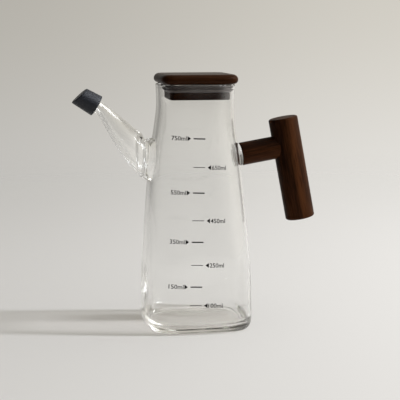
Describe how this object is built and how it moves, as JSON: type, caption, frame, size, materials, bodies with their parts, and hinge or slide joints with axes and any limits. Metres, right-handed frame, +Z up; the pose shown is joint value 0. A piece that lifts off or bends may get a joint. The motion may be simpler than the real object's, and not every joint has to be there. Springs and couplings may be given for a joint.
{
  "type": "glass cruet",
  "caption": "Square clear glass bottle with a fused tapered spout, a T-shaped wooden handle and a wooden stopper lid with a silicone seal, for oil or vinegar.",
  "frame": {"origin": "middle of the base, on the table", "axes": "+Z up along the bottle, +X towards the handle, -X towards the spout, -Y the front with the printed scale"},
  "size_m": [0.1945, 0.0824, 0.2],
  "materials": {
    "glass": "polished, clear, fused at the spout and handle",
    "walnut": "fine straight grain, oiled, matt",
    "seal_silicone": "translucent grey, soft gloss",
    "cap_silicone": "dark slate, matt",
    "scale_print": "black screen print on the glass"
  },
  "bodies": {
    "root": {"glass_body": "glass", "spout_cap": "cap_silicone", "lid_wood": "walnut", "lid_seal": "seal_silicone", "handle_stem": "walnut", "handle_grip": "walnut"}
  },
  "joints": []
}
